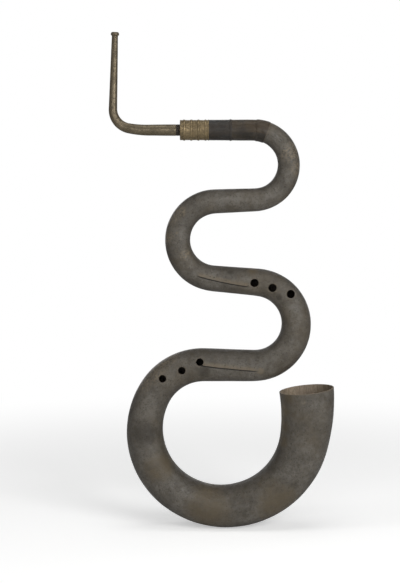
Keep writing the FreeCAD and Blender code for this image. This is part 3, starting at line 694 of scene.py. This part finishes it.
def skin(name, line, travel, angle, outer, inner, marks, material):
    """A closed tube of even rows, from grids of its angles, outer radii and inner radii. The finger
    holes are left out of its faces, drawn round and given a lip."""
    rows, columns = outer.shape
    base = rows * columns
    there = np.broadcast_to(travel[:, None], outer.shape).ravel()
    angle, outer, inner = angle.ravel(), outer.ravel(), inner.ravel()
    points, under = on_tube(line, there, angle, outer), on_tube(line, there, angle, inner)
    corner, quads = grid_quads(rows, columns)
    gap, hole = hole_gaps(points)
    quads = quads[(gap[quads] > HOLE_LIP).all(axis=1)]
    begin, end = quads, np.roll(quads, -1, axis=1)
    rim = ~np.isin(begin * base + end, end * base + begin)
    begin, end = begin[rim], end[rim]
    first_row = (begin < columns) & (end < columns)
    last_row = (begin >= base - columns) & (end >= base - columns)
    at_end = first_row | last_row
    faces = [quads, quads[:, ::-1] + base]
    faces.append(np.column_stack([end, begin, begin + base, end + base])[at_end])
    begin, end = begin[~at_end], end[~at_end]
    rimmed = np.unique(begin)
    middle = FINGER_HOLES[hole[rimmed]]
    way = points[rimmed][:, [0, 2]] - middle[:, :2]
    way /= np.linalg.norm(way, axis=1)[:, None]
    top, lip, wall, bottom = hole_rings(line, there[rimmed], middle, way, outer[rimmed], inner[rimmed])
    points[rimmed], under[rimmed] = top, bottom
    order = np.zeros(base, int)
    order[rimmed] = np.arange(len(rimmed))
    levels = [(begin, end), (order[begin] + 2 * base, order[end] + 2 * base),
              (order[begin] + 2 * base + len(rimmed), order[end] + 2 * base + len(rimmed)),
              (begin + base, end + base)]
    for (upper_begin, upper_end), (lower_begin, lower_end) in zip(levels, levels[1:]):
        faces.append(np.column_stack([upper_end, upper_begin, lower_begin, lower_end]))
    everything = np.vstack([points, under, lip, wall])
    faces = np.vstack(faces)
    used = np.unique(faces)
    renumbered = np.zeros(len(everything), int)
    renumbered[used] = np.arange(len(used))
    mesh = bpy.data.meshes.new(name)
    mesh.from_pydata(everything[used].tolist(), [], renumbered[faces].tolist())
    origin = np.concatenate([np.arange(base), np.arange(base), rimmed, rimmed])[used]
    store(mesh, "unrolled", np.column_stack([there, outer * np.sin(angle), -outer * np.cos(angle)])[origin])
    for label, values in {"hole_gap": gap, **marks}.items():
        store(mesh, label, np.asarray(values, float).ravel()[origin])
    ends = np.zeros(len(everything), int)
    for label, index in enumerate((corner[0], corner[-1], corner[0] + base, corner[-1] + base), start=1):
        ends[index] = label
    pairs = np.zeros(len(mesh.edges) * 2, np.int32)
    mesh.edges.foreach_get("vertices", pairs)
    pairs = ends[used][pairs].reshape(-1, 2)
    store(mesh, "sharp_edge", (pairs[:, 0] == pairs[:, 1]) & (pairs[:, 0] > 0), "EDGE")
    mesh.materials.append(material)
    return facing_out(mesh)


def hide_piece(name, first, last, faces_around, step, material, nodes, lips=(0.0, 0.0), more=None):
    """One leather tube between two travels; more() gives relief that only this piece has."""
    travel, drop = spaced(first, last, step, *lips)
    there, angle, girth, relief, marks = hide_grid(travel, faces_around, material)
    if more:
        relief = relief + more(there, angle, girth)
    if last == MOUTH:
        marks["worn"] = np.maximum(marks["worn"], 0.75 * soft(there, MOUTH - 0.0032, MOUTH - 0.0006))
    inside = girth - hide_wall(there) + 0.3 * drop[:, None]
    mesh = skin(name, horn_line, travel, angle, girth + relief - drop[:, None], inside, marks, material)
    as_piece(name, mesh, "horn", nodes)


WELT_WIDTH, WELT_HEIGHT = 0.0045, 0.0009


def welt(travel, angle, radius):
    """The raised seam ring at the sleeve's inner end, a fold of hide drawn in by its stitches."""
    share = np.clip(np.abs(travel - starts["throat"] + WELT_WIDTH / 2) / (WELT_WIDTH / 2), 0, 1)
    ring_height = WELT_HEIGHT * np.sqrt(1 - share ** 2) * (0.85 + 0.15 * np.cos(44 * angle))
    return ring_height + creases(travel, angle, radius, starts["sleeve"], starts["throat"], 26, 0.0005, 11)


def throat_folds(travel, angle, radius):
    folds = creases(travel, angle, radius, starts["throat"], starts["bend_one"] + 0.02, 16, 0.0004, 12)
    return folds * (1 - soft(travel, starts["bend_one"] + 0.01, starts["bend_one"] + 0.04))


throat_end = starts["bend_one"] + 0.004
hide_piece("neck_leather", starts["sleeve"], starts["throat"], 120, 0.0007, neck_hide,
           ["neck_sleeve"], lips=(0.0004, 0.0003), more=welt)
hide_piece("throat_leather", starts["throat"], throat_end, 120, 0.0009, throat_hide,
           ["neck_cover"], more=throat_folds)
hide_piece("first_bend_leather", throat_end, starts["bend_two"], 120, 0.0013, hide,
           ["bend_one_cover"], more=throat_folds)
hide_piece("second_bend_leather", starts["bend_two"], starts["middle_two"], 128, 0.0013, hide,
           ["bend_two_cover"])
hide_piece("third_bend_leather", starts["middle_two"], starts["middle_three"], 144, 0.0013, hide,
           ["bend_three_cover"])
hide_piece("bow_leather", starts["middle_three"], starts["bow_rise"], 150, 0.0016, hide,
           ["bow_fall_cover", "bow_low_cover"])
hide_piece("bell_leather", starts["bow_rise"], MOUTH, 160, 0.0018, hide,
           ["bow_rise_cover", "bell_cover"], lips=(0.0, 0.0005))


# The seam band
# A skived strap of hide glued round the start of the first bend, over the joint of the neck's
# leather with the body's. It stands a millimetre proud and its edges are pared thin.
BAND_FROM, BAND_TO, BAND_HEIGHT = 2.5, 21.5, 0.0010
bend_radius = HORN_RUNS["bend_one"][0]
band_ends = [starts["bend_one"] + bend_radius * math.radians(turn) for turn in (BAND_FROM, BAND_TO)]
travel, drop = spaced(*band_ends, 0.0007, 0.0004, 0.0004)
there, angle, girth, relief, marks = hide_grid(travel, 120, throat_hide)
edge_gap = np.minimum(there - band_ends[0], band_ends[1] - there)
height = BAND_HEIGHT * (0.5 + 0.5 * soft(edge_gap, 0.0, 0.003)) - drop[:, None]
bared = 0.6 * (1 - soft(edge_gap, 0.0004, 0.0016)) * (there > band_ends[0] + 0.01)
marks["worn"] = np.maximum(marks["worn"], bared)
surface = girth + relief
band = skin("seam_band_leather", horn_line, travel, angle, surface + height, surface - GLUE_GAP,
            marks, throat_hide)
as_piece("seam_band_leather", band, "horn", ["seam_band"])


# The pin holes
# Along each lap the hide was pinned down while the glue set. The pins left small holes with a
# puckered rim; one more stands by itself on the bottom bow. Each is a shallow puckered cap on the
# hide, coloured near black as painted shade for the hollow of the hole.
# painted shade: the cap is coloured near black, standing in for the shade inside a pin hole
pin_hole_shade, tree, into = new_material("pin_hole_shade", Roughness=0.8)
dust = blotch(tree, object_place(tree), 0.0008, 0.4, 0.6, 3.0)
tree.links.new(tint(tree, dust, (0.012, 0.010, 0.008), (0.035, 0.027, 0.018)), into["Base Color"])
PINS = ((675.6, 10.7), (684.1, 8.8), (708.7, -0.5), (753.4, -12.3),
        (1095.7, -7.8), (1079.2, -5.5), (1064.1, -2.4), (1036.1, -0.2), (1202.8, -48.4))

LATHE_RING = 0.01
lathe_tree, given, out = new_tree("Turned on the lathe", "GeometryNodeTree", {
    "Outline": "Geometry", "Faces around": "Int", "Finish": "Material",
}, {"Turned": "Geometry"})
outline = node(lathe_tree, "GeometryNodeMeshToCurve", {"Mesh": given["Outline"]})
ring = node(lathe_tree, "GeometryNodeCurvePrimitiveCircle", {
    "Resolution": given["Faces around"], "Radius": LATHE_RING,
})
turned = node(lathe_tree, "GeometryNodeCurveToMesh", {
    "Curve": ring.outputs[0], "Profile Curve": outline.outputs[0],
})
finished(lathe_tree, turned.outputs[0], given["Finish"], out["Turned"])


def turned_mesh(corners, faces_around, material):
    """A closed outline of (along, radius) turned about Z, along it."""
    along, radius = np.array(corners).T
    profile = edge_line(np.column_stack([radius - LATHE_RING, -along, 0 * along]), closed=True)
    return grow(lathe_tree, profile, {"Faces around": faces_around, "Finish": material})


def rounded(corners, steps=5):
    """An outline of (along, radius) from corners of (along, radius, rounding)."""
    outline = []
    for index, (along, radius, rounding) in enumerate(corners):
        corner = np.array([along, radius])
        if rounding == 0:
            outline.append(corner)
            continue
        ends = []
        for other in (corners[index - 1], corners[(index + 1) % len(corners)]):
            way = np.array(other[:2]) - corner
            ends.append(corner + way / np.linalg.norm(way) * rounding)
        for share in np.linspace(0, 1, steps):
            pulled = 2 * share * (1 - share) * corner
            outline.append((1 - share) ** 2 * ends[0] + pulled + share ** 2 * ends[1])
    return outline


set_tree, given, out = new_tree("Set on points", "GeometryNodeTree", {
    "Points": "Geometry", "Piece": "Object", "Least size": "Float", "Seed": "Int", "Finish": "Material",
}, {"Pieces": "Geometry"})
facing = node(set_tree, "GeometryNodeInputNamedAttribute", {"Name": "facing"}, data_type="FLOAT_VECTOR")
turn_out = node(set_tree, "FunctionNodeAlignRotationToVector", {
    "Vector": facing.outputs["Attribute"],
}, axis="Z")
piece_in = node(set_tree, "GeometryNodeObjectInfo", {"Object": given["Piece"]})
sizes = node(set_tree, "FunctionNodeRandomValue", {"Seed": given["Seed"]}, data_type="FLOAT")
least = [socket for socket in sizes.inputs if socket.name == "Min" and socket.enabled][0]
set_tree.links.new(given["Least size"], least)
drawn = [socket for socket in sizes.outputs if socket.enabled][0]
placed = node(set_tree, "GeometryNodeInstanceOnPoints", {
    "Points": given["Points"], "Instance": piece_in.outputs["Geometry"],
    "Rotation": turn_out.outputs[0], "Scale": drawn,
})
finished(set_tree, placed.outputs[0], given["Finish"], out["Pieces"])

pucker = turned_mesh(rounded([
    (-0.0004, 0.0010, 0), (0.00004, 0.0010, 0.00003), (0.00016, 0.00062, 0.00012),
    (0.00003, 0.00040, 0.00008), (0.00003, 0.00002, 0), (-0.0004, 0.00002, 0)]), 16, pin_hole_shade)
pin_source = in_scene("pin_source", pucker)
pin_travel, pin_angle = np.array([tube_place(*pin) for pin in PINS]).T
pin_girth = line_at(horn_line, pin_travel)[4]
_, pin_raised = hide_marks(pin_travel, pin_angle, pin_girth, 0 * pin_travel, 0 * pin_travel)
on_hide = on_tube(horn_line, pin_travel, pin_angle, pin_girth + pin_raised)
pins = edge_line(on_hide)
store(pins, "facing", on_tube(horn_line, pin_travel, pin_angle, 2 * pin_girth) - on_hide)
holes = grow(set_tree, pins, {"Piece": pin_source, "Least size": 0.7, "Seed": 5, "Finish": pin_hole_shade})
bpy.data.objects.remove(pin_source)
as_piece("lap_pin_holes", facing_out(holes), "horn")


# The brass
# The neck ends in a turned ferrule of four beads with reeding between, brown with old lacquer; in
# it sits a plain socket tube. The crook is a drawn tube with a turned receiver on its thin end.
def brass_material(name, bright, dull, patina, shine):
    material, tree, into = new_material(name)
    where = object_place(tree)
    toned = blotch(tree, where, 0.018, 0.34, 0.68, 2.0, 7.0)
    stain = blotch(tree, where, 0.005, 0.44, 0.66, 6.0, 6.0)
    speck = blotch(tree, where, 0.0011, 0.60, 0.72, 9.0, 3.0)
    tone = tint(tree, toned, bright, dull)
    tone = tint(tree, times(tree, stain, 0.7), tone, patina)
    tone = tint(tree, times(tree, speck, 0.5), tone, darker(patina, 0.4))
    tree.links.new(tone, into["Base Color"])
    tree.links.new(ranged(tree, stain, 0, 1, 0.75, 0.40), into["Metallic"])
    rubbed = effect(tree, scratch_tree, {
        "Where": where, "Long": 0.02, "Fine": 0.0006, "Amount": 0.16, "Seed": 4.0,
    })
    gloss = added(tree, ranged(tree, toned, 0, 1, shine, shine + 0.12), times(tree, stain, 0.12))
    tree.links.new(added(tree, gloss, times(tree, rubbed, 0.1)), into["Roughness"])
    normal = bumped(tree, stain, 0.00006, 0.3)
    tree.links.new(bumped(tree, added(tree, rubbed, speck), 0.00004, 0.3, normal), into["Normal"])
    return material


ferrule_brass = brass_material("lacquered_brass", (0.25, 0.19, 0.105), (0.17, 0.128, 0.070),
                               (0.10, 0.074, 0.040), 0.40)
crook_brass = brass_material("tarnished_brass", (0.185, 0.150, 0.098), (0.12, 0.096, 0.060),
                             (0.066, 0.052, 0.031), 0.38)


def place_vertices(mesh, points):
    mesh.vertices.foreach_set("co", points.astype(np.float32).ravel())
    mesh.update()


def turned_piece(name, corners, base, heading, faces_around, material, body, replaced=()):
    """A turned piece laid along a heading in the plane of the horn, from a base point."""
    mesh = turned_mesh(corners, faces_around, material)
    side, front, ahead = read(mesh, "position").T
    cos, sin = math.cos(heading), math.sin(heading)
    place_vertices(mesh, np.column_stack([
        base[0] + ahead * cos - side * sin, front, base[1] + ahead * sin + side * cos]))
    as_piece(name, facing_out(mesh), body, replaced)
    mesh.set_sharp_from_angle(angle=math.radians(35))


CAP, FERRULE_RADIUS, BEAD_HEIGHT, LIP_WIDTH = 0.0016, 0.0202, 0.0009, 0.0018
FIRST_BEAD, BEAD_PITCH, BEAD_HALF = 0.0084, 0.0143, 0.0023
REED_PITCH, REED_DEPTH, QUIRK_HALF, QUIRK_DEPTH = 0.00118, 0.00011, 0.0002, 0.00028
BARE_BORE = 0.0126
face_x = wood_end_x - CAP - GLUE_GAP
ferrule_length = neck_low.x - face_x
along = np.arange(0.0009, ferrule_length - LIP_WIDTH, 0.00017)
bead_gap = np.abs(along[:, None] - FIRST_BEAD - BEAD_PITCH * np.arange(4)).min(axis=1)
reeds = -REED_DEPTH * (1 - np.cos(2 * math.pi * bead_gap / REED_PITCH))
quirks = -QUIRK_DEPTH * np.exp(-((bead_gap - BEAD_HALF - QUIRK_HALF) / QUIRK_HALF) ** 2)
domes = BEAD_HEIGHT * np.sqrt(np.clip(1 - (bead_gap / BEAD_HALF) ** 2, 0, 1))
beaded = FERRULE_RADIUS + np.where(bead_gap < BEAD_HALF, domes, reeds + quirks)
crown = FERRULE_RADIUS + BEAD_HEIGHT
face_corners = rounded([
    (0.0, BARE_BORE, 0), (0.0, FERRULE_RADIUS - 0.0008, 0.0003), (0.0008, FERRULE_RADIUS, 0)])
lip_corners = rounded([
    (ferrule_length - LIP_WIDTH, FERRULE_RADIUS, 0), (ferrule_length - LIP_WIDTH, crown, 0.0004),
    (ferrule_length, crown, 0.0005), (ferrule_length, 0.01855, 0), (CAP, 0.01815, 0), (CAP, BARE_BORE, 0),
])
turned_piece("ferrule_turned", face_corners + list(zip(along, beaded)) + lip_corners,
             (face_x, neck_z), 0.0, 128, ferrule_brass, "horn", ["ferrule"])
turned_piece("socket_tube", rounded([
    (0.0, 0.01155, 0.0003), (0.0, 0.01255, 0.0002), (0.052, 0.0128, 0), (0.052, 0.01155, 0)]),
    (face_x, neck_z), 0.0, 96, crook_brass, "horn", ["crook_socket"])

TENON_DEPTH, TENON_SHOWN, CROOK_WALL, TENON_BORE = 0.0400, 0.0080, 0.0009, 0.0097
CROOK_LUMPS = 0.00022
shoulder = TENON_DEPTH + TENON_SHOWN
CROOK_RUNS = (
    (shoulder, 0, 0.0106), (0.0003, 0, 0.01145), (0.0559, 0, 0.0110),
    (0.2060, -10.9, 0.0101), (0.03825, -81.0, 0.0085), (0.1214, 0, 0.0066),
)
crook_line = follow(CROOK_RUNS, face_x + TENON_DEPTH, neck_z, math.pi, 0.0106, 0.0001)
crook_end = crook_line[-1, 0]
travel = np.linspace(0.0, crook_end, 300)
travel = np.sort(np.append(travel, shoulder + np.array([-0.0001, 0.0001, 0.0002, 0.0004])))
grid, lumps, ripples = tube_grid(crook_line, travel, 72, crook_brass, 9.0)
there = np.broadcast_to(travel[:, None], lumps.shape)
angle, girth = around(crook_line, there, grid)
bore = np.minimum(girth - CROOK_WALL, TENON_BORE)
outer = girth + CROOK_LUMPS * lumps * (there > shoulder)
crook = skin("crook_bent", crook_line, travel, angle, outer, bore, {}, crook_brass)
as_piece("crook_bent", crook, "crook", ["crook_tube"])

end_x, end_z, end_dx, end_dz, _ = line_at(crook_line, crook_end)
RECEIVER, RECEIVER_DEPTH, RECEIVER_BEAD = 0.0300, 0.0240, 0.0066
under_bead = RECEIVER - RECEIVER_BEAD
turned_piece("receiver_turned", rounded([
    (0.0, 0.0057, 0), (0.0, 0.0066, 0.0002), (under_bead - 0.0008, 0.0061, 0.0012),
    (under_bead, 0.0072, 0.0005), (under_bead + 0.0012, 0.0083, 0.0008),
    (RECEIVER - 0.0022, 0.0083, 0.0018), (RECEIVER, 0.0065, 0.0008), (RECEIVER, 0.0052, 0.0004),
    (RECEIVER - RECEIVER_DEPTH, 0.0052, 0), (RECEIVER - RECEIVER_DEPTH, 0.0048, 0)], steps=7),
    (end_x, end_z), math.atan2(end_dz, end_dx), 72, crook_brass, "crook",
    ["mouthpiece_receiver"])


# The thread lapping
# Waxed linen thread wound tight round the crook's tenon, so that it grips in the socket. Eight
# millimetres of it show between the ferrule and the crook's shoulder.
thread, tree, into = new_material("waxed_thread")
where = object_place(tree)
waxed = blotch(tree, where, 0.003, 0.36, 0.68, 2.0, 6.0)
fibre = blotch(tree, where, 0.0004, 0.4, 0.65, 8.0, 3.0)
tone = tint(tree, waxed, (0.016, 0.013, 0.010), (0.040, 0.031, 0.022))
tree.links.new(tint(tree, times(tree, fibre, 0.5), tone, (0.075, 0.058, 0.040)), into["Base Color"])
tree.links.new(ranged(tree, waxed, 0, 1, 0.45, 0.7), into["Roughness"])
tree.links.new(bumped(tree, fibre, 0.0001, 0.6), into["Normal"])
THREAD_RADIUS = 0.00043
THREAD_PITCH = 1.98 * THREAD_RADIUS
lapping_low, lapping_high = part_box("tenon_lapping")
thread_ring = (lapping_high.z - lapping_low.z) / 2 - THREAD_RADIUS
length = lapping_high.x - lapping_low.x - 2 * THREAD_RADIUS
turns = length / THREAD_PITCH
way_round = np.linspace(0, 2 * math.pi * turns, round(turns * 44))
wound_x = lapping_high.x - THREAD_RADIUS - length * np.linspace(0, 1, len(way_round))
spiral = edge_line(np.column_stack([
    wound_x, thread_ring * np.cos(way_round), neck_z + thread_ring * np.sin(way_round)]))
store(spiral, "girth", np.full(len(way_round), THREAD_RADIUS))
wound = grow(tube_tree, spiral, {
    "Faces around": 8, "Closed ends": True, "Lump size": 0.004, "Ripple size": 0.001, "Seed": 6.0,
    "Finish": thread,
})
as_piece("lapping_thread", facing_out(wound), "tenon_stage", ["tenon_lapping"])


# The studio
# A pale floor that fades into a white background, soft lamps at both sides and above, and the
# camera at the photographed view, a little above the middle of the horn.
def lamp(name, place, aim, width, height, watts):
    data = bpy.data.lights.new(name, "AREA")
    data.shape, data.size, data.size_y, data.energy = "RECTANGLE", width, height, watts
    lamp_object = in_scene(name, data)
    lamp_object.location = place
    lamp_object.rotation_euler = (Vector(aim) - Vector(place)).to_track_quat("-Z", "Y").to_euler()


lamp("right_key", (1.6, -2.3, 1.5), (0, 0, 0.5), 1.5, 1.9, 50)
lamp("front_fill", (-0.6, -3.2, 1.1), (0, 0, 0.5), 1.8, 1.6, 22)
lamp("left_edge", (-2.0, -0.7, 1.9), (-0.1, 0, 0.6), 0.5, 1.0, 7)
lamp("top_lamp", (0.1, -0.2, 2.6), (0, 0.1, 0.0), 1.6, 1.4, 14)

world = bpy.data.worlds.new("studio")
bpy.context.scene.world = world
world.use_nodes = True
tree = world.node_tree
tree.nodes.clear()
path = node(tree, "ShaderNodeLightPath").outputs
toward = node(tree, "ShaderNodeSeparateXYZ", {0: node(tree, "ShaderNodeTexCoord").outputs["Generated"]})
backdrop = ranged(tree, toward.outputs["Y"], 0.5, 0.95, smooth=True)
mirrored = times(tree, added(tree, path["Is Glossy Ray"], path["Is Transmission Ray"]), backdrop)
white_share = added(tree, path["Is Camera Ray"], mirrored)
room = node(tree, "ShaderNodeBackground", {"Color": (0.95, 0.97, 1.0, 1), "Strength": 0.10})
white = node(tree, "ShaderNodeBackground", {"Color": (1, 1, 1, 1), "Strength": 1.0})
either = node(tree, "ShaderNodeMixShader", {0: white_share, 1: room.outputs[0], 2: white.outputs[0]})
node(tree, "ShaderNodeOutputWorld", {"Surface": either.outputs[0]})

FLOOR_REACH = 4.0
floor_mesh = bpy.data.meshes.new("floor")
floor_mesh.from_pydata([(-FLOOR_REACH, -FLOOR_REACH, 0), (FLOOR_REACH, -FLOOR_REACH, 0),
                        (FLOOR_REACH, FLOOR_REACH, 0), (-FLOOR_REACH, FLOOR_REACH, 0)], [], [(0, 1, 2, 3)])
floor = in_scene("floor", floor_mesh)
paper = bpy.data.materials.new("paper")
paper.use_nodes = True
tree = paper.node_tree
tree.nodes.clear()
away = node(tree, "ShaderNodeVectorMath", {0: object_place(tree)}, operation="LENGTH")
seen = node(tree, "ShaderNodeLightPath").outputs["Is Camera Ray"]
matt = node(tree, "ShaderNodeBsdfDiffuse", {"Color": (0.93, 0.93, 0.92, 1)})
lift = node(tree, "ShaderNodeEmission", {"Color": (1, 1, 1, 1), "Strength": times(tree, seen, 0.42)})
glow = node(tree, "ShaderNodeEmission", {"Color": (1, 1, 1, 1), "Strength": 1.0})
lit = node(tree, "ShaderNodeAddShader", {0: matt.outputs[0], 1: lift.outputs[0]})
open_white = times(tree, ranged(tree, away.outputs["Value"], 0.5, 1.6, smooth=True), seen)
both = node(tree, "ShaderNodeMixShader", {0: open_white, 1: lit.outputs[0], 2: glow.outputs[0]})
node(tree, "ShaderNodeOutputMaterial", {"Surface": both.outputs[0]})
floor_mesh.materials.append(paper)

camera_data = bpy.data.cameras.new("camera")
camera_data.sensor_width, camera_data.lens = 36.0, 85.6
camera_data.clip_end = 30.0
camera = in_scene("camera", camera_data)
camera.location = (-0.0542, -2.8, 0.7725)
aim = Vector((-0.0542, 0, 0.4881))
camera.rotation_euler = (aim - camera.location).to_track_quat("-Z", "Y").to_euler()
bpy.context.scene.camera = camera
bpy.context.scene.view_settings.view_transform = "Standard"
